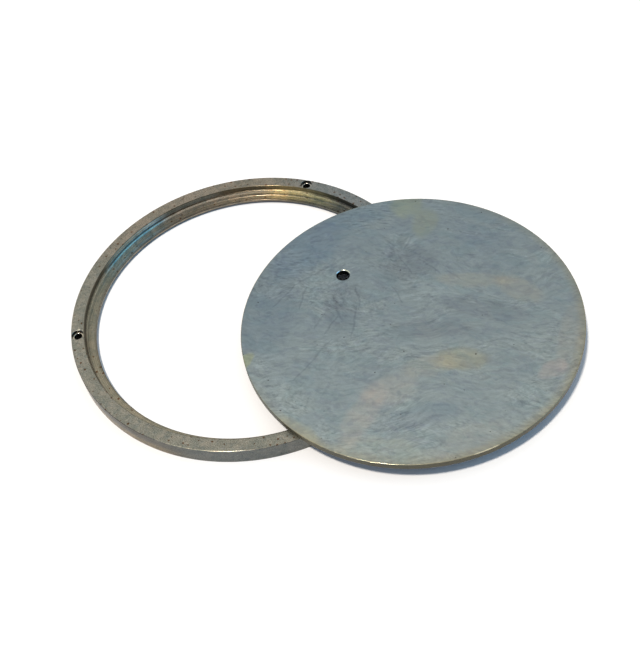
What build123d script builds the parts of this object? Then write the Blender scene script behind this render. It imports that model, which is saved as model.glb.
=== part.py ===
"""Round cover plate and its frame ring, both turned from steel and zinc plated.

The ring is a flat frame that three screws hold down.  Its inside is bored in two
steps: a shallow one at the rim, and below it the seat that the cover drops into,
which ends in a thin flange around the clear opening.  The cover is a plain disc with
one hole near its edge to lift it by.  It is modelled lifted out, lying flat on the
ring's rim and reaching past it, with its weight over the rim.

The row frame has the ring's axis as Z, with z = 0 at the face that the ring stands on.
+X points from the ring's axis to the cover's centre.  All sizes are in millimetres.
"""
from build123d import *
import os

# Cover
cover_diameter = 249.0
cover_thickness = 5.0
cover_edge_break = 0.4
lift_hole_diameter = 10.0
lift_hole_offset = 67.0          # from the cover's centre
lift_hole_angle = 151.3          # degrees from +X
lift_hole_break = 0.6

# Ring section, from the cover outwards
cover_clearance = 0.5            # radial, between cover and seat wall
step_width = 1.0                 # the narrow step level with the seated cover's top
counterbore_diameter = 9.0
rim_web_inner = 0.6              # rim left between a counterbore and the rim step
rim_web_outer = 0.4              # rim left between a counterbore and the outer wall

# Ring section, from the top down
rim_step_depth = 4.5
flange_width = 5.8               # the seat under the cover's edge
flange_thickness = 2.0
underside_relief = 2.0           # the flange's height above the face the ring stands on
ring_edge_break = 0.3

# Screw holes
screw_count = 3
first_screw_angle = 85.5         # degrees from +X
screw_hole_diameter = 6.0
counterbore_depth = 2.0

# How the cover lies on the ring: its centre is this far inside the outer wall
balance_margin = 9.0

# Sizes that follow
cover_radius = cover_diameter / 2
seat_wall_radius = cover_radius + cover_clearance
rim_step_radius = seat_wall_radius + step_width
opening_radius = seat_wall_radius - flange_width
screw_circle_radius = rim_step_radius + rim_web_inner + counterbore_diameter / 2
ring_outer_radius = screw_circle_radius + counterbore_diameter / 2 + rim_web_outer
flange_top = underside_relief + flange_thickness
step_level = flange_top + cover_thickness
ring_height = step_level + rim_step_depth
cover_offset = ring_outer_radius - balance_margin


def turned_section():
    """Half section of the ring, radius along X and height along Y."""
    return Polyline(
        (seat_wall_radius, 0),
        (ring_outer_radius, 0),
        (ring_outer_radius, ring_height),
        (rim_step_radius, ring_height),
        (rim_step_radius, step_level),
        (seat_wall_radius, step_level),
        (seat_wall_radius, flange_top),
        (opening_radius, flange_top),
        (opening_radius, underside_relief),
        (seat_wall_radius, underside_relief),
        close=True,
    )


def rim_edges(ring, radius, height):
    """The circular edges of a given radius and height on a turned part."""
    return [
        edge
        for edge in ring.edges().filter_by(GeomType.CIRCLE)
        if abs(edge.radius - radius) < 0.01 and abs(edge.center().Z - height) < 0.01
    ]


def make_ring():
    section = Plane.XZ * make_face(turned_section())
    ring = revolve(section, axis=Axis.Z)
    sharp_edges = (
        rim_edges(ring, ring_outer_radius, ring_height)
        + rim_edges(ring, ring_outer_radius, 0)
        + rim_edges(ring, rim_step_radius, ring_height)
        + rim_edges(ring, seat_wall_radius, step_level)
        + rim_edges(ring, opening_radius, flange_top)
        + rim_edges(ring, opening_radius, underside_relief)
    )
    ring = chamfer(sharp_edges, ring_edge_break)
    shelf_level = ring_height - counterbore_depth
    for place in PolarLocations(screw_circle_radius, screw_count, start_angle=first_screw_angle):
        screw_hole = Pos(0, 0, ring_height / 2) * Cylinder(screw_hole_diameter / 2, 2 * ring_height)
        head_room = Pos(0, 0, shelf_level) * Cylinder(
            counterbore_diameter / 2,
            2 * counterbore_depth,
            align=(Align.CENTER, Align.CENTER, Align.MIN),
        )
        ring -= place * (screw_hole + head_room)
    return ring


def make_cover():
    lift_hole_centre = Rot(0, 0, lift_hole_angle) * Pos(lift_hole_offset, 0, 0)
    cover = Cylinder(cover_radius, cover_thickness, align=(Align.CENTER, Align.CENTER, Align.MIN))
    cover = chamfer(cover.edges().filter_by(GeomType.CIRCLE), cover_edge_break)
    cover -= lift_hole_centre * Cylinder(lift_hole_diameter / 2, 4 * cover_thickness)
    hole_radius = lift_hole_diameter / 2
    hole_edges = rim_edges(cover, hole_radius, 0) + rim_edges(cover, hole_radius, cover_thickness)
    cover = chamfer(hole_edges, lift_hole_break)
    return Pos(cover_offset, 0, ring_height) * cover


nodes = {"frame_ring": make_ring(), "cover_plate": make_cover()}

os.makedirs("parts", exist_ok=True)
for name, solid in nodes.items():
    export_step(solid, f"parts/{name}.step")
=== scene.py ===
import math
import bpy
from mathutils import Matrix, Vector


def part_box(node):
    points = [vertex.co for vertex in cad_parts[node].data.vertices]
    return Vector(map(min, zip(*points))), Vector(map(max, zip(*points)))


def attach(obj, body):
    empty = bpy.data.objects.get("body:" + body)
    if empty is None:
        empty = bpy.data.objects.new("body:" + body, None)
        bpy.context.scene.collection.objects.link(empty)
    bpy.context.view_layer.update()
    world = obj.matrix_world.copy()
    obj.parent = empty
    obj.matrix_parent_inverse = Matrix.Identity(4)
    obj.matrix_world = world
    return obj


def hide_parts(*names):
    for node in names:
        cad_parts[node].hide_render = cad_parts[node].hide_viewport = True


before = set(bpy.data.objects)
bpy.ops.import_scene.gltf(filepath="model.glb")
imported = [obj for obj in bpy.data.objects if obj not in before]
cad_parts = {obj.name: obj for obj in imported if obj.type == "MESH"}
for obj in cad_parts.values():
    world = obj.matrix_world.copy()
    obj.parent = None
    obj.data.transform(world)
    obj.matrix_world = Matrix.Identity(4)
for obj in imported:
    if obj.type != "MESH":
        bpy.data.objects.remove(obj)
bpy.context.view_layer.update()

from types import SimpleNamespace

import bpy
from mathutils import Matrix, Vector

MM = 0.001
ORIGIN = (0.0, 0.0, 0.0)

# ---------------------------------------------------------------- sizes, in metres
ring_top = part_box("frame_ring")[1].z
cover_low, cover_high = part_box("cover_plate")

ring_outer_radius = 136.0 * MM
rim_step_radius = 126.0 * MM
seat_wall_radius = 125.0 * MM
opening_radius = 119.2 * MM
step_level = 9.0 * MM
flange_top = 4.0 * MM
underside_relief = 2.0 * MM
ring_edge_round = 0.3 * MM
tool_mark_radii = (124.1 * MM, 123.0 * MM, 121.8 * MM, 120.6 * MM)
tool_mark_depth = 0.05 * MM
tool_mark_half = 0.16 * MM

screw_circle_radius = 131.1 * MM
screw_angles = (85.5, 205.5, 325.5)
left_screw_angle = screw_angles[1]
screw_hole_radius = 3.0 * MM
counterbore_radius = 4.5 * MM
counterbore_depth = 2.0 * MM
hole_edge_round = 0.35 * MM

cover_radius = 124.5 * MM
cover_centre = Vector((cover_high.x - cover_radius, 0, cover_low.z))
cover_thickness = cover_high.z - cover_low.z
cover_edge_round = 0.4 * MM
lift_hole_radius = 5.0 * MM
lift_hole_offset = 67.0 * MM
lift_hole_angle = 151.3
lift_hole_break = 0.6 * MM
lift_hole_mouth = lift_hole_radius + lift_hole_break

ring_facets = 384
cover_facets = 512
hole_facets = 64

edge_segments = 3
weld_distance = 0.001 * MM
square_corner = 60  # degrees: any edge turned further than this is rounded
smooth_angle = 35  # degrees: any edge turned less than this is shaded smooth
flat_face_weight = 100


# ---------------------------------------------------------------- modelling
def let_go():
    """Leaves edit mode and deselects everything."""
    if bpy.context.object and bpy.context.object.mode != "OBJECT":
        bpy.ops.object.mode_set(mode="OBJECT")
    bpy.ops.object.select_all(action="DESELECT")


def hold(piece):
    let_go()
    piece.select_set(True)
    bpy.context.view_layer.objects.active = piece


def turn_up(name, section, facets, fill):
    """Turns a body on the Z axis from the (radius, height) corners of its section."""
    let_go()
    radius, height = section[0]
    bpy.ops.mesh.primitive_circle_add(
        vertices=facets, radius=radius, location=(0, 0, height), fill_type=fill
    )
    piece = bpy.context.object
    piece.name = name
    bpy.ops.object.transform_apply()
    bpy.ops.object.mode_set(mode="EDIT")
    bpy.ops.mesh.select_all(action="SELECT")
    for next_radius, next_height in section[1:]:
        bpy.ops.mesh.extrude_region()
        growth = next_radius / radius
        bpy.ops.transform.resize(value=(growth, growth, 1), center_override=(0, 0, 0))
        bpy.ops.transform.translate(value=(0, 0, next_height - height))
        radius, height = next_radius, next_height
    bpy.ops.mesh.select_all(action="SELECT")
    bpy.ops.mesh.remove_doubles(threshold=weld_distance)
    bpy.ops.mesh.normals_make_consistent(inside=False)
    bpy.ops.object.mode_set(mode="OBJECT")
    return piece


def turned_ring(name, section, facets):
    """A hollow ring: the section closes on its own first corner."""
    return turn_up(name, section + section[:1], facets, "NOTHING")


def turned_solid(name, levels, facets):
    """A body solid through its axis, stacked from the bottom level up."""
    return turn_up(name, levels, facets, "NGON")


def round_corners(piece, width):
    """Rounds the square corners of a turned body."""
    hold(piece)
    bpy.ops.object.mode_set(mode="EDIT")
    bpy.ops.mesh.select_mode(type="EDGE")
    bpy.ops.mesh.select_all(action="DESELECT")
    bpy.ops.mesh.edges_select_sharp(sharpness=math.radians(square_corner))
    bpy.ops.mesh.bevel(offset=width, segments=edge_segments, affect="EDGES")
    bpy.ops.object.mode_set(mode="OBJECT")


def put_at(piece, place):
    hold(piece)
    bpy.ops.transform.translate(value=place)
    bpy.ops.object.transform_apply()


def drill_with(tool, piece):
    hold(piece)
    cut = piece.modifiers.new("drill", "BOOLEAN")
    cut.operation = "DIFFERENCE"
    cut.solver = "EXACT"
    cut.object = tool
    bpy.ops.object.modifier_apply(modifier=cut.name)
    bpy.data.objects.remove(tool)


def true_up(piece):
    """Shades walls smooth and keeps flat faces flat."""
    hold(piece)
    bpy.ops.object.shade_smooth_by_angle(angle=math.radians(smooth_angle))
    flatten = piece.modifiers.new("true up", "WEIGHTED_NORMAL")
    flatten.keep_sharp = True
    flatten.weight = flat_face_weight
    bpy.ops.object.modifier_apply(modifier=flatten.name)


def around(radius, degrees):
    turn = math.radians(degrees)
    return Vector((radius * math.cos(turn), radius * math.sin(turn), 0))


def rounded_mouth(radius, level, size, steps=4):
    """Levels of a drill that leave a rounded edge of one size where a hole meets a face."""
    mouth = []
    for step in range(steps + 1):
        turn = math.radians(90 * step / steps)
        mouth.append((radius + size * (1 - math.cos(turn)), level - size * (1 - math.sin(turn))))
    return mouth


def ring_section():
    """The ring's corners, from its base up the outside, over the rim and down to the flange."""
    section = [
        (seat_wall_radius, 0),
        (ring_outer_radius, 0),
        (ring_outer_radius, ring_top),
        (rim_step_radius, ring_top),
        (rim_step_radius, step_level),
        (seat_wall_radius, step_level),
        (seat_wall_radius, flange_top),
    ]
    for radius in tool_mark_radii:
        section += [
            (radius + tool_mark_half, flange_top),
            (radius, flange_top - tool_mark_depth),
            (radius - tool_mark_half, flange_top),
        ]
    section += [
        (opening_radius, flange_top),
        (opening_radius, underside_relief),
        (seat_wall_radius, underside_relief),
    ]
    return section


def screw_drill():
    """A stepped drill for a through hole and its counterbore, with rounded edges."""
    shelf = ring_top - counterbore_depth
    levels = [(screw_hole_radius, -counterbore_depth)]
    levels += rounded_mouth(screw_hole_radius, shelf, hole_edge_round)
    levels += [(counterbore_radius, shelf)]
    levels += rounded_mouth(counterbore_radius, ring_top, hole_edge_round)
    levels += [(counterbore_radius + hole_edge_round, ring_top + counterbore_depth)]
    return turned_solid("screw drill", levels, hole_facets)


def lift_hole_drill():
    """A drill that breaks the edge of the hole below and rounds it above."""
    levels = [(lift_hole_mouth, -cover_thickness), (lift_hole_mouth, 0)]
    levels += [(lift_hole_radius, lift_hole_break)]
    levels += rounded_mouth(lift_hole_radius, cover_thickness, lift_hole_break)
    levels += [(lift_hole_mouth, 2 * cover_thickness)]
    return turned_solid("lift hole drill", levels, hole_facets)


def make_frame_ring():
    ring = turned_ring("turned_frame_ring", ring_section(), ring_facets)
    round_corners(ring, ring_edge_round)
    for angle in screw_angles:
        drill = screw_drill()
        put_at(drill, around(screw_circle_radius, angle))
        drill_with(drill, ring)
    true_up(ring)
    return ring


def make_cover_plate():
    levels = [(cover_radius, 0), (cover_radius, cover_thickness)]
    cover = turned_solid("turned_cover_plate", levels, cover_facets)
    round_corners(cover, cover_edge_round)
    drill = lift_hole_drill()
    put_at(drill, around(lift_hole_offset, lift_hole_angle))
    drill_with(drill, cover)
    put_at(cover, cover_centre)
    true_up(cover)
    return cover


# ---------------------------------------------------------------- node helpers
def feed(tree, node, inputs):
    """Fills a node's inputs; one given a socket is linked, any other is set."""
    for key, value in inputs.items():
        if isinstance(value, bpy.types.NodeSocket):
            tree.links.new(value, node.inputs[key])
        else:
            node.inputs[key].default_value = value


def put(tree, kind, inputs=None, **settings):
    node = tree.nodes.new("ShaderNode" + kind)
    for name, value in settings.items():
        setattr(node, name, value)
    feed(tree, node, inputs or {})
    return node


def calc(tree, operation, *values):
    node = put(tree, "Math", dict(enumerate(values)), operation=operation)
    return node.outputs[0]


def times(tree, *values):
    product = values[0]
    for value in values[1:]:
        product = calc(tree, "MULTIPLY", product, value)
    return product


def outside(tree, mask):
    """All that a mask leaves out."""
    return calc(tree, "SUBTRACT", 1.0, mask)


def reckon(tree, operation, *values):
    """A vector sum; gives the vector, or the number of a length or dot product."""
    node = put(tree, "VectorMath", dict(enumerate(values)), operation=operation)
    return node.outputs["Value" if operation in ("LENGTH", "DISTANCE", "DOT_PRODUCT") else "Vector"]


def scaled(tree, vector, amount):
    node = put(tree, "VectorMath", {0: vector, "Scale": amount}, operation="SCALE")
    return node.outputs["Vector"]


def turned_back(tree, vector, angle):
    back = calc(tree, "MULTIPLY", angle, -1.0)
    node = put(tree, "VectorRotate", {"Vector": vector, "Angle": back}, rotation_type="Z_AXIS")
    return node.outputs[0]


def part_of(tree, vector, axis):
    return put(tree, "SeparateXYZ", {0: vector}).outputs[axis]


def flattened(tree, point):
    """The place with its height taken out."""
    return reckon(tree, "MULTIPLY", point, (1.0, 1.0, 0.0))


def spread_over(tree, value, start, end, low, high, kind="LINEAR"):
    node = put(
        tree,
        "MapRange",
        {"Value": value, "From Min": start, "From Max": end, "To Min": low, "To Max": high},
        interpolation_type=kind,
    )
    return node.outputs["Result"]


def fade(tree, value, start, end, low=0.0, high=1.0):
    """A soft step from low at start to high at end."""
    return spread_over(tree, value, start, end, low, high, "SMOOTHSTEP")


def tint(tree, amount, under, over, blend="MIX"):
    node = put(tree, "Mix", {0: amount, 6: under, 7: over}, data_type="RGBA", blend_type=blend)
    return node.outputs[2]


def noise(tree, point, scale, detail=2.0, roughness=0.5, distortion=0.0):
    values = {
        "Vector": point,
        "Scale": scale,
        "Detail": detail,
        "Roughness": roughness,
        "Distortion": distortion,
    }
    return put(tree, "TexNoise", values).outputs


def shaken(tree, point, scale, reach, detail=2.0, roughness=0.5):
    """A random push, up to half the reach each way, that changes over the surface."""
    push = noise(tree, point, scale, detail, roughness)["Color"]
    return scaled(tree, reckon(tree, "SUBTRACT", push, (0.5, 0.5, 0.5)), reach)


def new_group(name, inputs, outputs):
    """An empty node group; inputs are {name: default}, where a default of three is a vector."""
    tree = bpy.data.node_groups.new(name, "ShaderNodeTree")
    for label, default in inputs.items():
        kind = "NodeSocketVector" if isinstance(default, tuple) else "NodeSocketFloat"
        socket = tree.interface.new_socket(label, in_out="INPUT", socket_type=kind)
        socket.default_value = default
    for label in outputs:
        tree.interface.new_socket(label, in_out="OUTPUT", socket_type="NodeSocketFloat")
    return tree, tree.nodes.new("NodeGroupInput").outputs, tree.nodes.new("NodeGroupOutput").inputs


def fill_group(tree, group, inputs):
    node = tree.nodes.new("ShaderNodeGroup")
    node.node_tree = group
    feed(tree, node, inputs)
    return node.outputs


# ---------------------------------------------------------------- effects the finishes share
def make_bloom():
    """Soft drifting clouds of a plated surface, and the harder-edged ones over them."""
    tree, given, out = new_group(
        "zinc bloom", {"Point": ORIGIN, "Patch": 60 * MM, "Drift": 1.5}, ("Tone", "Cloud", "Grain")
    )
    scale = calc(tree, "DIVIDE", 1.0, given["Patch"])
    wide = noise(tree, given["Point"], scale, 3.0, 0.55, given["Drift"])
    tree.links.new(fade(tree, wide["Fac"], 0.35, 0.65), out["Tone"])
    shifted = reckon(tree, "ADD", given["Point"], (0.31, 0.17, 0.23))
    middle = noise(tree, shifted, times(tree, scale, 2.4), 5.0, 0.6, given["Drift"])
    tree.links.new(fade(tree, middle["Fac"], 0.5, 0.6), out["Cloud"])
    fine = noise(tree, shifted, times(tree, scale, 22.0), 3.0, 0.6)
    tree.links.new(fine["Fac"], out["Grain"])
    return tree


def make_wiping():
    """Fibrous strokes that lie mostly one way and flow round slow eddies."""
    tree, given, out = new_group(
        "wiping strokes",
        {
            "Point": ORIGIN,
            "Heading": 0.0,
            "Length": 10 * MM,
            "Gap": 2.2 * MM,
            "Eddy": 85 * MM,
            "Sway": 75 * MM,
        },
        ("Shade", "Stroke"),
    )
    eddies = calc(tree, "DIVIDE", 1.0, given["Eddy"])
    slow = shaken(tree, given["Point"], eddies, given["Sway"], 1.0)
    quick = shaken(tree, given["Point"], 70.0, 4.5 * MM)
    swayed = reckon(tree, "ADD", given["Point"], reckon(tree, "ADD", slow, quick))
    cell = {0: given["Length"], 1: given["Gap"], 2: given["Gap"]}
    cell = put(tree, "CombineXYZ", cell).outputs[0]
    along_strokes = reckon(tree, "DIVIDE", turned_back(tree, swayed, given["Heading"]), cell)
    shade = noise(tree, along_strokes, 1.0, 4.0, 0.6, 0.35)["Fac"]
    tree.links.new(shade, out["Shade"])
    tree.links.new(fade(tree, shade, 0.42, 0.32), out["Stroke"])
    return tree


def make_swirls():
    """Thin curling scratches that come and go."""
    tree, given, out = new_group(
        "swirl scratches",
        {"Point": ORIGIN, "Curl": 30 * MM, "Line": 0.02, "Share": 0.5},
        ("Mask",),
    )
    scale = calc(tree, "DIVIDE", 1.0, given["Curl"])
    limit = outside(tree, given["Share"])
    most = 0.0
    for level, shift in ((0.46, (0.0, 0.0, 0.0)), (0.53, (0.7, 0.4, 0.9)), (0.5, (1.9, 1.3, 0.2))):
        moved = reckon(tree, "ADD", given["Point"], shift)
        field = noise(tree, moved, scale, 1.5, 0.5, 0.6)["Fac"]
        off = calc(tree, "ABSOLUTE", calc(tree, "SUBTRACT", field, level))
        line = fade(tree, off, given["Line"], 0.0)
        gate = noise(tree, moved, times(tree, scale, 1.7))["Fac"]
        opened = fade(tree, gate, limit, calc(tree, "ADD", limit, 0.1))
        most = calc(tree, "MAXIMUM", most, times(tree, line, opened))
    tree.links.new(most, out["Mask"])
    return tree


def make_flecks():
    """Scattered small spots of uneven size."""
    tree, given, out = new_group(
        "flecks", {"Point": ORIGIN, "Spacing": 6 * MM, "Size": 0.2, "Share": 0.3}, ("Mask",)
    )
    ragged = reckon(tree, "ADD", given["Point"], shaken(tree, given["Point"], 900.0, 1.2 * MM))
    scale = calc(tree, "DIVIDE", 1.0, given["Spacing"])
    cells = put(
        tree,
        "TexVoronoi",
        {"Vector": ragged, "Scale": scale, "Randomness": 1.0},
        voronoi_dimensions="2D",
    ).outputs
    pick = put(tree, "SeparateColor", {0: cells["Color"]}).outputs
    chosen = calc(tree, "LESS_THAN", pick[0], given["Share"])
    size = times(tree, given["Size"], fade(tree, pick[1], 0.0, 1.0, 0.4, 1.0))
    spot = fade(tree, cells["Distance"], size, times(tree, size, 0.5))
    tree.links.new(times(tree, spot, chosen), out["Mask"])
    return tree


def make_lathe_lines():
    """Fine lines that run round the Z axis, as a turning tool leaves them."""
    tree, given, out = new_group(
        "lathe lines", {"Point": ORIGIN, "Pitch": 0.8 * MM, "Wander": 0.25}, ("Shade",)
    )
    radius = reckon(tree, "LENGTH", flattened(tree, given["Point"]))
    height = part_of(tree, given["Point"], 2)
    section = {
        0: calc(tree, "DIVIDE", radius, given["Pitch"]),
        1: calc(tree, "DIVIDE", height, given["Pitch"]),
    }
    section = put(tree, "CombineXYZ", section).outputs[0]
    slow = scaled(tree, reckon(tree, "MULTIPLY", given["Point"], (8.0, 8.0, 0.0)), given["Wander"])
    lines = noise(tree, reckon(tree, "ADD", section, slow), 1.0, 3.0, 0.6)["Fac"]
    tree.links.new(lines, out["Shade"])
    return tree


def make_stain():
    """One soft oval stain, wandering at its edge and patchy inside."""
    tree, given, out = new_group(
        "stain",
        {
            "Point": ORIGIN,
            "Centre": ORIGIN,
            "Reach": (20 * MM, 10 * MM, 50 * MM),
            "Turn": 0.0,
            "Wander": 9 * MM,
            "Edge": 0.3,
        },
        ("Mask",),
    )
    push = shaken(tree, given["Point"], 55.0, given["Wander"], 3.0, 0.6)
    local = reckon(tree, "SUBTRACT", reckon(tree, "ADD", given["Point"], push), given["Centre"])
    local = turned_back(tree, local, given["Turn"])
    away = reckon(tree, "LENGTH", reckon(tree, "DIVIDE", local, given["Reach"]))
    inner = outside(tree, given["Edge"])
    body = fade(tree, away, calc(tree, "ADD", 1.0, given["Edge"]), inner)
    patch = noise(tree, given["Point"], 95.0, 4.0, 0.65)["Fac"]
    patch = fade(tree, patch, 0.3, 0.6, 0.7, 1.0)
    tree.links.new(times(tree, body, patch), out["Mask"])
    return tree


def make_score():
    """One scored line from a point to a point, thinning to its ends."""
    tree, given, out = new_group(
        "scored line",
        {"Point": ORIGIN, "From": ORIGIN, "To": (10 * MM, 0.0, 0.0), "Width": 0.5 * MM},
        ("Mask",),
    )
    wobble = shaken(tree, given["Point"], 70.0, 6 * MM)
    point = flattened(tree, reckon(tree, "ADD", given["Point"], wobble))
    reach = reckon(tree, "SUBTRACT", given["To"], given["From"])
    local = reckon(tree, "SUBTRACT", point, given["From"])
    passed = reckon(tree, "DOT_PRODUCT", local, reach)
    whole = reckon(tree, "DOT_PRODUCT", reach, reach)
    along = put(tree, "Clamp", {0: calc(tree, "DIVIDE", passed, whole)}).outputs[0]
    away = reckon(tree, "LENGTH", reckon(tree, "SUBTRACT", local, scaled(tree, reach, along)))
    middle = times(tree, along, outside(tree, along), 4.0)
    width = times(tree, given["Width"], fade(tree, middle, 0.0, 0.5, 0.35, 1.0))
    tree.links.new(fade(tree, away, width, 0.0), out["Mask"])
    return tree


bloom = make_bloom()
wiping = make_wiping()
swirls = make_swirls()
flecks = make_flecks()
lathe_lines = make_lathe_lines()
stain = make_stain()
score = make_score()


# ---------------------------------------------------------------- what the finishes are made of
def new_finish(name):
    finish = bpy.data.materials.new(name)
    finish.use_nodes = True
    tree = finish.node_tree
    shader = tree.nodes["Principled BSDF"]
    shader.inputs["Metallic"].default_value = 1.0
    return finish, tree, shader


def read_surface(tree, centre):
    """Where each place of a turned piece is, and how far its face is turned up or down."""
    point = reckon(tree, "SUBTRACT", put(tree, "TexCoord").outputs["Object"], tuple(centre))
    flat = flattened(tree, point)
    facing = calc(tree, "ABSOLUTE", part_of(tree, put(tree, "NewGeometry").outputs["Normal"], 2))
    return SimpleNamespace(
        point=point,
        flat=flat,
        radius=reckon(tree, "LENGTH", flat),
        height=part_of(tree, point, 2),
        facing=facing,
        wall=fade(tree, facing, 0.6, 0.2),
    )


def toward(tree, flat, bearing):
    """How far each place leans to one side of the axis, from -1 to 1."""
    away = reckon(tree, "NORMALIZE", flat)
    return reckon(tree, "DOT_PRODUCT", away, tuple(around(1.0, bearing)))


def side(tree, flat, bearing, gone, full):
    """A soft patch round a bearing: gone past one angle from it and full within another."""
    lean = toward(tree, flat, bearing)
    return fade(tree, lean, math.cos(math.radians(gone)), math.cos(math.radians(full)))


def stain_or_painted_light(tree, colour, amount, dye):
    """Multiplies a dye over a colour where the amount says: real stains, and also painted light and
    shade.
    """
    return tint(tree, amount, colour, (*dye, 1), "MULTIPLY")


def lift(tree, amount, colour, strength):
    """Lightens or darkens a colour as an amount runs above or below a half."""
    swing = calc(tree, "MULTIPLY_ADD", amount, 2.0, -1.0)
    return scaled(tree, colour, calc(tree, "MULTIPLY_ADD", swing, strength, 1.0))


def on_plate(place, height=0.0):
    """A place given in mm on a piece's face, as a vector in metres."""
    return (place[0] * MM, place[1] * MM, height)


def lay_stains(tree, colour, flat, stains):
    """Lays soft stains over a colour; also gives how much they cover each place."""
    covered = 0.0
    for centre, reach, turn, strength, dye in stains:
        shape = {
            "Point": flat,
            "Centre": on_plate(centre),
            "Reach": on_plate(reach, 1.0),
            "Turn": math.radians(turn),
        }
        amount = times(tree, fill_group(tree, stain, shape)["Mask"], strength)
        colour = stain_or_painted_light(tree, colour, amount, dye)
        covered = calc(tree, "MAXIMUM", covered, amount)
    return colour, covered


def add_scores(tree, marks, flat, scores):
    """Adds scored lines to a mask of marks."""
    for start, end, width, strength in scores:
        shape = {"Point": flat, "From": on_plate(start), "To": on_plate(end), "Width": width * MM}
        line = times(tree, fill_group(tree, score, shape)["Mask"], strength)
        marks = calc(tree, "MAXIMUM", marks, line)
    return marks


def rounded_edges(tree, at):
    """A mask of the rounded edges, which lie between the flat faces and the walls."""
    return times(tree, fade(tree, at.facing, 0.99, 0.95), fade(tree, at.facing, 0.10, 0.25))


def coat(tree, shader, colour, gloss, relief):
    """Joins a finish's colour, roughness and (height, strength, distance) of bump."""
    height, strength, distance = relief
    bump = put(tree, "Bump", {"Height": height, "Strength": strength, "Distance": distance})
    tree.links.new(colour, shader.inputs["Base Color"])
    tree.links.new(gloss, shader.inputs["Roughness"])
    tree.links.new(bump.outputs[0], shader.inputs["Normal"])


# ---------------------------------------------------------------- the cover's finish
far_blue = (0.256, 0.318, 0.348, 1)
near_green = (0.315, 0.372, 0.378, 1)
score_grey = (0.36, 0.36, 0.44)
fleck_brown = (0.2, 0.16, 0.16)
rubbed_tan = (1.08, 0.93, 0.75)
# painted sheen: a warm tint for the cover's lip
warm_lip_sheen = (1.00, 0.86, 0.66)

near_bearing = 300
rubbed_bearing = 335
# bearing of the painted highlight on the cover's lip
lip_highlight_bearing = 306
# bearings of the painted highlights on the lift hole's mouth
cream_highlight_bearing = 75
cold_highlight_bearing = 152
stroke_heading = 0.18

# centre and half sizes in mm, turn in degrees, strength, dye
cover_stains = (
    ((-14.0, -91.0), (28.0, 10.0), 76, 1.0, (1.20, 1.08, 1.03)),
    ((-1.0, -66.0), (20.0, 12.0), 38, 1.0, (1.17, 1.07, 1.02)),
    ((22.0, -40.0), (20.0, 9.0), 25, 1.0, (1.15, 1.07, 1.00)),
    ((43.0, -30.0), (19.0, 9.0), 12, 1.0, (1.11, 1.00, 0.84)),
    ((72.0, 42.0), (19.0, 10.0), -22, 1.0, (1.16, 1.06, 0.97)),
    ((38.0, 44.0), (28.0, 7.0), 6, 1.0, (1.16, 1.08, 0.99)),
    ((-27.0, 113.0), (13.0, 12.0), 60, 1.0, (1.14, 1.09, 0.88)),
    ((-9.0, 97.0), (9.0, 16.0), 0, 1.0, (1.10, 1.05, 0.89)),
    ((-108.0, -60.0), (8.0, 4.0), 60, 0.9, (1.24, 1.14, 0.80)),
    ((106.0, -28.0), (11.0, 6.0), 40, 0.9, (1.22, 1.03, 0.99)),
    ((-50.0, -112.0), (20.0, 7.0), -25, 1.0, (1.22, 1.12, 0.94)),
    ((60.0, -95.0), (28.0, 11.0), 35, 0.7, (1.12, 1.04, 0.98)),
    ((4.0, -114.0), (32.0, 8.0), 8, 0.7, (1.15, 1.09, 0.99)),
    ((114.0, 4.0), (8.0, 30.0), 0, 0.7, (1.12, 1.01, 0.94)),
    ((20.0, 32.0), (20.0, 7.0), 8, 0.8, (1.06, 1.07, 1.07)),
)

# dull clouds, laid out as the stains are
cover_clouds = (
    ((-14.0, 52.0), (22.0, 17.0), 15, 1.0, (0.85, 0.84, 0.86)),
    ((-51.0, 2.0), (14.0, 24.0), 8, 1.0, (0.85, 0.85, 0.88)),
    ((54.0, 18.0), (34.0, 9.0), -2, 0.8, (0.87, 0.85, 0.87)),
    ((16.0, -8.0), (32.0, 8.0), 12, 1.0, (0.88, 0.86, 0.88)),
    ((-94.0, 54.0), (34.0, 20.0), 58, 1.0, (0.82, 0.87, 0.95)),
    ((-62.0, 98.0), (30.0, 13.0), 32, 1.0, (0.88, 0.92, 0.97)),
    ((38.0, 86.0), (26.0, 12.0), -20, 0.4, (0.86, 0.89, 0.96)),
    ((66.0, -4.0), (24.0, 6.0), 6, 0.6, (0.92, 0.92, 0.95)),
    ((24.0, -84.0), (32.0, 9.0), 30, 0.9, (0.88, 0.89, 0.94)),
    ((-106.0, -8.0), (24.0, 44.0), 8, 0.9, (0.85, 0.87, 0.91)),
)

# from, to and half width in mm, strength
cover_scores = (
    ((-83.5, 17.0), (-83.0, -6.0), 1.23, 0.31),
    ((-103.0, -8.0), (-92.0, 16.0), 1.30, 0.25),
    ((-92.0, 16.0), (-72.0, 41.0), 1.30, 0.22),
    ((-69.0, -71.0), (-51.0, -29.0), 1.23, 0.25),
    ((-46.0, 23.0), (-39.0, 6.0), 1.38, 0.31),
    ((-41.0, 6.0), (-38.0, -24.0), 1.38, 0.27),
    ((-60.0, 10.0), (-50.0, -10.0), 2.32, 0.31),
    ((-52.0, -6.0), (-58.0, -26.0), 1.38, 0.27),
    ((-62.0, -4.0), (-66.0, -22.0), 1.30, 0.22),
    ((-14.0, 84.0), (-20.0, 66.0), 1.30, 0.25),
    ((-22.0, 60.0), (-8.0, 44.0), 1.16, 0.25),
    ((-6.0, 58.0), (14.0, 46.0), 1.16, 0.22),
    ((12.0, 56.0), (30.0, 42.0), 1.09, 0.22),
    ((-20.0, 28.0), (-8.0, 12.0), 1.16, 0.24),
    ((-4.0, 20.0), (16.0, 24.0), 1.16, 0.18),
)


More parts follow.
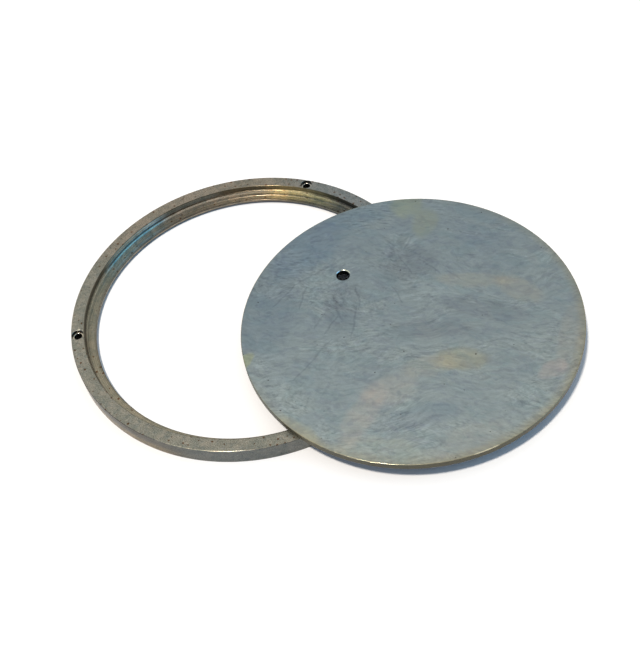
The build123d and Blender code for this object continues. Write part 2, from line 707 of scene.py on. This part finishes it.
def cover_plating(tree, at, soft, close):
    """Dulled zinc, blue at the far side and green at the near one, with stains and clouds."""
    near_way = tuple(around(1.0 / cover_radius, near_bearing))
    drift = spread_over(tree, reckon(tree, "DOT_PRODUCT", at.flat, near_way), -0.9, 0.9, 0.0, 1.0)
    drift = calc(tree, "ADD", drift, spread_over(tree, soft["Tone"], 0.0, 1.0, -0.2, 0.2))
    colour = tint(tree, put(tree, "Clamp", {0: drift}).outputs[0], far_blue, near_green)
    colour, covered = lay_stains(tree, colour, at.flat, cover_stains)
    colour = lay_stains(tree, colour, at.flat, cover_clouds)[0]
    colour = stain_or_painted_light(tree, colour, times(tree, close["Cloud"], 0.9), (0.90, 0.89, 0.93))
    colour = stain_or_painted_light(tree, colour, times(tree, soft["Cloud"], 0.9), (0.93, 0.97, 0.98))
    colour = stain_or_painted_light(tree, colour, times(tree, close["Tone"], 0.5), (1.08, 1.06, 1.01))
    return colour, covered


def cover_strokes(tree, colour, worked, strokes, fine):
    """Wiping strokes, strongest where the plate was worked most."""
    colour = lift(tree, strokes["Shade"], colour, times(tree, worked, 0.44))
    colour = lift(tree, fine["Shade"], colour, times(tree, worked, 0.28))
    return stain_or_painted_light(tree, colour, times(tree, strokes["Stroke"], worked, 0.55), (0.86, 0.87, 0.92))


def cover_rim(tree, colour, at, close):
    """A handled rim: tan where it is rubbed most, a warm tint all round the lip as a painted sheen,
    and a painted highlight on the lip at one bearing.
    """
    torn = calc(tree, "MULTIPLY_ADD", close["Grain"], 5 * MM, at.radius)
    rim = fade(tree, torn, cover_radius - 6 * MM, cover_radius + 2.5 * MM)
    rubbed = spread_over(tree, toward(tree, at.flat, rubbed_bearing), -0.6, 0.9, 0.12, 1.0)
    colour = stain_or_painted_light(tree, colour, times(tree, rim, rubbed), rubbed_tan)
    lip = fade(tree, at.radius, cover_radius - 0.9 * MM, cover_radius - 0.3 * MM)
    # painted sheen: the lip tinted warm all round
    colour = stain_or_painted_light(tree, colour, times(tree, lip, 0.8), warm_lip_sheen)
    # painted highlight: the lip brightened at one bearing
    painted_shine = times(
        tree,
        lip,
        side(tree, at.flat, lip_highlight_bearing, 4.8, 2.56),
        fade(tree, at.facing, 0.25, 0.5),
    )
    return stain_or_painted_light(tree, colour, painted_shine, (2.6, 2.6, 2.6))


def cover_walls(tree, colour, at):
    """Walls darkened as painted shade, the bore darker still as painted shade, and two painted
    highlights, one cream and one cold, on the bore's mouth.
    """
    hole_place = tuple(around(lift_hole_offset, lift_hole_angle))
    from_hole = reckon(tree, "SUBTRACT", at.flat, hole_place)
    from_hole_axis = reckon(tree, "LENGTH", from_hole)
    by_hole = fade(tree, from_hole_axis, lift_hole_mouth + 0.4 * MM, lift_hole_mouth)
    mouth = times(tree, by_hole, fade(tree, at.facing, 0.1, 0.4))
    # painted highlights on the mouth of the lift hole
    cream_highlight = times(tree, mouth, side(tree, from_hole, cream_highlight_bearing, 53.1, 25.8))
    cold_highlight = times(tree, mouth, side(tree, from_hole, cold_highlight_bearing, 23.1, 9.9))
    colour = stain_or_painted_light(tree, colour, cream_highlight, (2.9, 2.4, 1.7))
    colour = stain_or_painted_light(tree, colour, cold_highlight, (2.2, 2.7, 3.0))
    # painted shade: the walls darkened, except under the painted highlights
    painted_dimming = times(tree, at.wall, outside(tree, calc(tree, "ADD", cream_highlight, cold_highlight)))
    colour = stain_or_painted_light(tree, colour, painted_dimming, (0.27, 0.275, 0.285))
    # painted shade: the bore's wall nearly black
    return stain_or_painted_light(tree, colour, times(tree, by_hole, painted_dimming), (0.2, 0.2, 0.2))


def cover_zinc():
    finish, tree, shader = new_finish("cover_zinc_plate")
    at = read_surface(tree, cover_centre)
    long_way = reckon(tree, "MULTIPLY", at.point, (0.55, 1.0, 1.0))
    soft = fill_group(tree, bloom, {"Point": long_way, "Patch": 36 * MM, "Drift": 0.9})
    close = fill_group(tree, bloom, {"Point": long_way, "Patch": 15 * MM, "Drift": 1.2})
    stroke = {"Point": at.point, "Heading": stroke_heading}
    strokes = fill_group(tree, wiping, stroke)
    short_stroke = {**stroke, "Length": 4 * MM, "Gap": 1.0 * MM, "Eddy": 60 * MM}
    fine = fill_group(tree, wiping, short_stroke)
    curl = {"Point": at.point, "Curl": 26 * MM, "Line": 0.012, "Share": 0.42}
    curls = fill_group(tree, swirls, curl)["Mask"]

    colour, covered = cover_plating(tree, at, soft, close)
    worked = spread_over(tree, soft["Tone"], 0.2, 0.8, 0.35, 1.0)
    worked = times(tree, worked, calc(tree, "MULTIPLY_ADD", covered, -0.6, 1.0))
    colour = cover_strokes(tree, colour, worked, strokes, fine)
    marks = add_scores(tree, times(tree, curls, 0.12), at.flat, cover_scores)
    colour = stain_or_painted_light(tree, colour, marks, score_grey)
    fleck = {"Point": at.flat, "Spacing": 24 * MM, "Size": 0.03, "Share": 0.5}
    spots = fill_group(tree, flecks, fleck)["Mask"]
    colour = stain_or_painted_light(tree, colour, times(tree, spots, 0.8), fleck_brown)
    colour = cover_rim(tree, colour, at, close)
    colour = cover_walls(tree, colour, at)

    gloss = spread_over(tree, strokes["Shade"], 0.3, 0.7, 0.40, 0.52)
    polish = spread_over(tree, rounded_edges(tree, at), 0.0, 1.0, 1.0, 0.42)
    height = calc(tree, "MULTIPLY_ADD", fine["Shade"], 0.5, times(tree, marks, -1.0))
    coat(tree, shader, colour, times(tree, gloss, polish), (height, 0.25, 0.15 * MM))
    return finish


# ---------------------------------------------------------------- the ring's finish
olive_grey = (0.305, 0.300, 0.245, 1)
pale_tan = (0.395, 0.365, 0.295, 1)
cool_dye = (0.78, 0.88, 1.06)
brown_dye = (0.98, 0.88, 0.84)
# painted gold highlight for the ring's inner walls
painted_gold_highlight = (2.1, 1.95, 1.45)
# painted blue reflection for the ring's inner walls
painted_blue_reflection = (0.60, 1.45, 2.35)
rust_dye = (0.42, 0.25, 0.17)

cool_bearing = 62
brown_bearing = 130
# bearings on the outer wall: painted floor reflection, painted dark band, and a lighter side
floor_reflection_bearing = 243
dark_band_bearing = 234
lighter_front_bearing = 292
# bearing of the painted blue reflection
blue_reflection_bearing = 158
# bearing of the painted gold highlight
gold_highlight_bearing = 86
# bearing of the painted cool reflection inside the ring
cool_reflection_bearing = 155
# bearing of a painted cool reflection on the wall above the step
upper_cool_reflection_bearing = 136
# bearing where that wall's painted shade is darker still
dark_end_bearing = 66
# bearings where the step is not darkened
lit_step_bearings = (90, 188)
# bearings of the painted highlights on the ring's edges
front_highlight_bearing = 274
screw_highlight_bearing = 98


def ring_top_face(tree, at, soft, close):
    """Mottled zinc, cool at the far right and browner at the far left."""
    colour = tint(tree, close["Tone"], olive_grey, pale_tan)
    colour = stain_or_painted_light(tree, colour, side(tree, at.flat, cool_bearing, 36.9, 0), cool_dye)
    brown = side(tree, at.flat, brown_bearing, 53.1, 18.2)
    colour = stain_or_painted_light(tree, colour, times(tree, brown, 0.8), brown_dye)
    colour = stain_or_painted_light(tree, colour, times(tree, close["Cloud"], 0.9), (0.80, 0.85, 0.90))
    colour = stain_or_painted_light(tree, colour, times(tree, soft["Cloud"], 0.6), (0.90, 0.94, 0.96))
    return lift(tree, close["Grain"], colour, 2.0)


def ring_outer_wall(tree, colour, at):
    """A wall darkened as painted shade, with a warm painted reflection of the floor low down at one
    side, a painted dark band high up there, and lighter at another side.
    """
    outer = fade(tree, at.radius, ring_outer_radius - 2 * MM, ring_outer_radius - 1 * MM)
    outer = times(tree, at.wall, outer)
    # painted shade: the outer wall darkened
    colour = stain_or_painted_light(tree, colour, outer, (0.30, 0.30, 0.31))
    lighter_front = side(tree, at.flat, lighter_front_bearing, 30.7, 11.5)
    colour = stain_or_painted_light(tree, colour, times(tree, outer, lighter_front), (1.24, 1.36, 1.50))
    low = fade(tree, at.height, 8.5 * MM, 4 * MM)
    # painted reflection of the lit floor, warm, low on the wall
    floor_reflection = side(tree, at.flat, floor_reflection_bearing, 28.4, 11.5)
    colour = stain_or_painted_light(tree, colour, times(tree, outer, low, floor_reflection), (2.05, 1.70, 1.28))
    high = fade(tree, at.height, 8 * MM, 9.5 * MM)
    # painted shade: a dark band high on the wall
    dark_reflection_band = side(tree, at.flat, dark_band_bearing, 28.4, 14.1)
    return stain_or_painted_light(tree, colour, times(tree, outer, high, dark_reflection_band), (0.60, 0.55, 0.46))


def ring_upper_wall(tree, colour, at, blue_reflection_side):
    """The wall above the step, darkened as painted shade, less so where the painted blue reflection
    lies, with a painted cool reflection at one bearing and darker still at another.
    """
    inner = fade(tree, at.radius, ring_outer_radius - 1 * MM, ring_outer_radius - 2 * MM)
    upper = fade(tree, at.height, step_level + 0.2 * MM, step_level + 0.8 * MM)
    dim = times(tree, at.wall, inner, upper, calc(tree, "MULTIPLY_ADD", blue_reflection_side, -0.7, 1.0))
    # painted shade: the wall above the step darkened
    colour = stain_or_painted_light(tree, colour, dim, (0.20, 0.19, 0.17))
    cool_reflection = side(tree, at.flat, upper_cool_reflection_bearing, 19.9, 11.5)
    # painted cool reflection on the darkened wall
    colour = stain_or_painted_light(tree, colour, times(tree, dim, cool_reflection), (1.4, 1.8, 2.4))
    dark_end = side(tree, at.flat, dark_end_bearing, 15.2, 8.1)
    # painted shade: darker still near one end
    return stain_or_painted_light(tree, colour, times(tree, dim, dark_end), (0.35, 0.40, 0.42))


def ring_seat(tree, colour, at, seat):
    """The seat wall and flange: a painted gold highlight at the far side and a painted cool
    reflection at the left.
    """
    gold_highlight = side(tree, at.flat, gold_highlight_bearing, 17.25, 5.7)
    gold_highlight = times(tree, seat, gold_highlight, fade(tree, at.height, 3.5 * MM, 6 * MM))
    # painted gold highlight on the seat wall and flange
    colour = stain_or_painted_light(tree, colour, gold_highlight, painted_gold_highlight)
    sunk = fade(tree, at.height, step_level - 0.2 * MM, step_level - 0.6 * MM)
    sunk = times(tree, seat, sunk)
    cool_reflection = side(tree, at.flat, cool_reflection_bearing, 60, 31.8)
    # painted cool reflection below the step at the left
    colour = stain_or_painted_light(tree, colour, times(tree, sunk, cool_reflection), (1.26, 1.30, 1.38))
    cool_reflection_wall = times(tree, at.wall, side(tree, at.flat, blue_reflection_bearing, 72.5, 53.1))
    return stain_or_painted_light(tree, colour, times(tree, sunk, cool_reflection_wall), (1.10, 1.16, 1.30))


def ring_step(tree, colour, at, seat):
    """The narrow step, darkened as painted shade but for two bearings where it keeps its highlight.
    """
    above = fade(tree, at.height, step_level - 0.6 * MM, step_level - 0.3 * MM)
    below = fade(tree, at.height, step_level + 0.8 * MM, step_level + 0.4 * MM)
    far_bearing, left_bearing = lit_step_bearings
    step_highlights = calc(
        tree,
        "MAXIMUM",
        side(tree, at.flat, far_bearing, 9.9, 3.6),
        side(tree, at.flat, left_bearing, 19.9, 9.9),
    )
    # painted shade: the step darkened outside those bearings
    painted_dimming = times(tree, seat, above, below, outside(tree, step_highlights))
    return stain_or_painted_light(tree, colour, painted_dimming, (0.48, 0.46, 0.45))


def ring_lips(tree, colour, at):
    """Inner edges of the rim and of the flange, darkened as painted shade."""
    lip = fade(tree, at.radius, rim_step_radius + 0.5 * MM, rim_step_radius + 0.35 * MM)
    lip = times(tree, lip, fade(tree, at.height, ring_top - 0.6 * MM, ring_top - 0.4 * MM))
    # painted shade on the rim's inner edge
    colour = stain_or_painted_light(tree, colour, lip, (0.50, 0.47, 0.42))
    lip = fade(tree, at.radius, opening_radius + 0.7 * MM, opening_radius + 0.3 * MM)
    # painted shade on the flange's inner edge
    return stain_or_painted_light(tree, colour, lip, (0.42, 0.40, 0.38))


def ring_edge_highlights(tree, colour, at):
    """Painted highlights on the rim's near outer edge and on the far edge of the left screw hole;
    the rest of that outer edge is darkened as painted shade.
    """
    edge = fade(tree, at.radius, ring_outer_radius - 0.5 * MM, ring_outer_radius - 0.3 * MM)
    edge = times(tree, edge, fade(tree, at.facing, 0.2, 0.4))
    painted_shine = side(tree, at.flat, front_highlight_bearing, 12.0, 8.1)
    # painted highlight on the near outer edge
    colour = stain_or_painted_light(tree, colour, times(tree, edge, painted_shine), (1.9, 1.8, 1.6))
    painted_dimming = outside(tree, side(tree, at.flat, front_highlight_bearing, 16.3, 12.8))
    # painted shade: the outer edge darkened away from that highlight
    colour = stain_or_painted_light(tree, colour, times(tree, edge, painted_dimming), (0.55, 0.52, 0.50))
    screw_hole = around(screw_circle_radius, left_screw_angle)
    place = screw_hole + around(counterbore_radius + 0.3 * MM, screw_highlight_bearing)
    glint = fade(tree, reckon(tree, "DISTANCE", at.flat, tuple(place)), 1.3 * MM, 0.6 * MM)
    # painted highlight by the left screw hole
    return stain_or_painted_light(tree, colour, times(tree, glint, outside(tree, at.wall)), (2.4, 2.3, 2.1))


def ring_screw_holes(tree, colour, at):
    """Screw hole walls painted black as painted shade and their shelves lightened as a painted
    highlight; also gives the shelves.
    """
    nearest = 1.0
    for angle in screw_angles:
        hole_place = tuple(around(screw_circle_radius, angle))
        nearest = calc(tree, "MINIMUM", nearest, reckon(tree, "DISTANCE", at.flat, hole_place))
    in_hole = fade(tree, nearest, counterbore_radius + 0.15 * MM, counterbore_radius + 0.05 * MM)
    # painted shade: the hole walls blackened
    colour = stain_or_painted_light(tree, colour, times(tree, in_hole, at.wall), (0.10, 0.10, 0.10))
    shelf = times(tree, in_hole, outside(tree, at.wall))
    # painted highlight: the shelves lightened
    return stain_or_painted_light(tree, colour, shelf, (1.9, 1.8, 1.7)), shelf


def ring_zinc():
    finish, tree, shader = new_finish("ring_zinc_turned")
    at = read_surface(tree, ORIGIN)
    soft = fill_group(tree, bloom, {"Point": at.point, "Patch": 30 * MM, "Drift": 1.0})
    close = fill_group(tree, bloom, {"Point": at.point, "Patch": 9 * MM, "Drift": 1.0})
    lines = fill_group(tree, lathe_lines, {"Point": at.point, "Pitch": 0.9 * MM})["Shade"]
    seat = fade(tree, at.radius, rim_step_radius + 0.3 * MM, rim_step_radius + 0.1 * MM)
    # where the painted blue reflection lies inside the ring
    blue_reflection_side = times(tree, seat, side(tree, at.flat, blue_reflection_bearing, 19.1, 8.1))

    colour = ring_top_face(tree, at, soft, close)
    colour = lift(tree, lines, colour, spread_over(tree, seat, 0.0, 1.0, 0.15, 0.75))
    colour = stain_or_painted_light(tree, colour, seat, (1.0, 0.95, 0.85))
    colour = ring_outer_wall(tree, colour, at)
    colour = ring_upper_wall(tree, colour, at, blue_reflection_side)
    colour = ring_seat(tree, colour, at, seat)
    colour = ring_step(tree, colour, at, seat)
    colour = ring_lips(tree, colour, at)
    streaks = spread_over(tree, lines, 0.38, 0.58, 0.0, 1.0)
    # painted blue reflection, streaked along the lathe lines
    blue_reflection_streaks = times(tree, blue_reflection_side, fade(tree, at.height, 4.5 * MM, 6.5 * MM), streaks)
    colour = stain_or_painted_light(tree, colour, blue_reflection_streaks, painted_blue_reflection)
    fleck = {"Point": at.flat, "Spacing": 5 * MM, "Size": 0.24, "Share": 0.4}
    rusty = times(tree, fill_group(tree, flecks, fleck)["Mask"], outside(tree, at.wall))
    colour = stain_or_painted_light(tree, colour, rusty, rust_dye)
    colour = ring_edge_highlights(tree, colour, at)
    colour, shelf = ring_screw_holes(tree, colour, at)

    gloss = spread_over(tree, close["Grain"], 0.3, 0.7, 0.26, 0.40)
    polished = calc(tree, "MAXIMUM", rounded_edges(tree, at), shelf)
    gloss = times(tree, gloss, spread_over(tree, polished, 0.0, 1.0, 1.0, 0.55))
    depth = times(tree, lines, spread_over(tree, at.wall, 0.0, 1.0, 0.15, 1.0))
    coat(tree, shader, colour, gloss, (depth, 1.0, 0.25 * MM))
    return finish


def dress(piece, finish, node):
    piece.data.materials.clear()
    piece.data.materials.append(finish)
    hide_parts(node)
    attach(piece, "root")


dress(make_frame_ring(), ring_zinc(), "frame_ring")
dress(make_cover_plate(), cover_zinc(), "cover_plate")


# ---------------------------------------------------------------- floor, light and camera
floor_size = 8
floor_white = (0.92, 0.92, 0.92, 1)
floor_grey = (0.15, 0.15, 0.15, 1)

sun_bearing = 246
sun_height = 72
sun_energy = 2.7
sun_width = 6
sun_colour = (1.0, 0.92, 0.82)

low_sky = (0.175, 0.24, 0.36, 1)
high_sky = (0.40, 0.46, 0.55, 1)
far_sky = (0.66, 0.66, 0.65, 1)
blue_sky = (0.45, 1.00, 1.50, 1)
far_sky_place = (113, 40)
blue_sky_place = (10, 30)

camera_place = (0.249463, -0.455329, 0.585382)
camera_heading = 23.127
camera_dip = 50.4626
camera_tilt = -10.0224
camera_lens = 54.685


def lay_floor():
    """White paper, which counts as grey to light it has scattered already: shade stays deep."""
    let_go()
    bpy.ops.mesh.primitive_plane_add(size=floor_size, location=(0, 0, 0))
    floor = bpy.context.object
    floor.name = "floor"
    paper = bpy.data.materials.new("white paper")
    paper.use_nodes = True
    tree = paper.node_tree
    shader = tree.nodes["Principled BSDF"]
    bounces = put(tree, "LightPath").outputs["Diffuse Depth"]
    bounced = calc(tree, "GREATER_THAN", bounces, 0.5)
    tree.links.new(tint(tree, bounced, floor_white, floor_grey), shader.inputs["Base Color"])
    shader.inputs["Roughness"].default_value = 1.0
    shader.inputs["Specular IOR Level"].default_value = 0.0
    floor.data.materials.append(paper)


def from_way(bearing, height):
    """The direction of a light at a bearing and a height, both in degrees."""
    across = around(math.cos(math.radians(height)), bearing)
    return across + Vector((0, 0, math.sin(math.radians(height))))


def hang_sun():
    sun = bpy.data.lights.new("sun", "SUN")
    sun.energy = sun_energy
    sun.angle = math.radians(sun_width)
    sun.color = sun_colour
    lamp = bpy.data.objects.new("sun", sun)
    bpy.context.collection.objects.link(lamp)
    lamp.rotation_euler = (-from_way(sun_bearing, sun_height)).to_track_quat("-Z", "Y").to_euler()


def light_patch(tree, way, colour, place, start, end, light):
    """A soft patch of another light in the sky, round a (bearing, height) in degrees."""
    lean = reckon(tree, "DOT_PRODUCT", way, tuple(from_way(*place)))
    return tint(tree, fade(tree, lean, start, end), colour, light)


def hang_sky():
    world = bpy.data.worlds.new("soft sky")
    bpy.context.scene.world = world
    world.use_nodes = True
    tree = world.node_tree
    way = put(tree, "TexCoord").outputs["Generated"]
    colour = tint(tree, fade(tree, part_of(tree, way, 2), 0.0, 0.9), low_sky, high_sky)
    colour = light_patch(tree, way, colour, far_sky_place, 0.25, 0.92, far_sky)
    colour = light_patch(tree, way, colour, blue_sky_place, 0.90, 0.98, blue_sky)
    tree.links.new(colour, tree.nodes["Background"].inputs["Color"])


def set_camera():
    """Above the near side, looking 50 degrees down, with a slight tilt to the right."""
    camera_data = bpy.data.cameras.new("camera")
    camera = bpy.data.objects.new("camera", camera_data)
    bpy.context.collection.objects.link(camera)
    bpy.context.scene.camera = camera
    camera_data.sensor_width = 36
    camera_data.lens = camera_lens
    camera_data.clip_start = 0.05
    camera.location = camera_place
    camera.rotation_euler = (
        Matrix.Rotation(math.radians(camera_heading), 3, "Z")
        @ Matrix.Rotation(math.radians(90 - camera_dip), 3, "X")
        @ Matrix.Rotation(math.radians(camera_tilt), 3, "Z")
    ).to_euler()


lay_floor()
hang_sun()
hang_sky()
set_camera()
bpy.context.scene.view_settings.view_transform = "Standard"
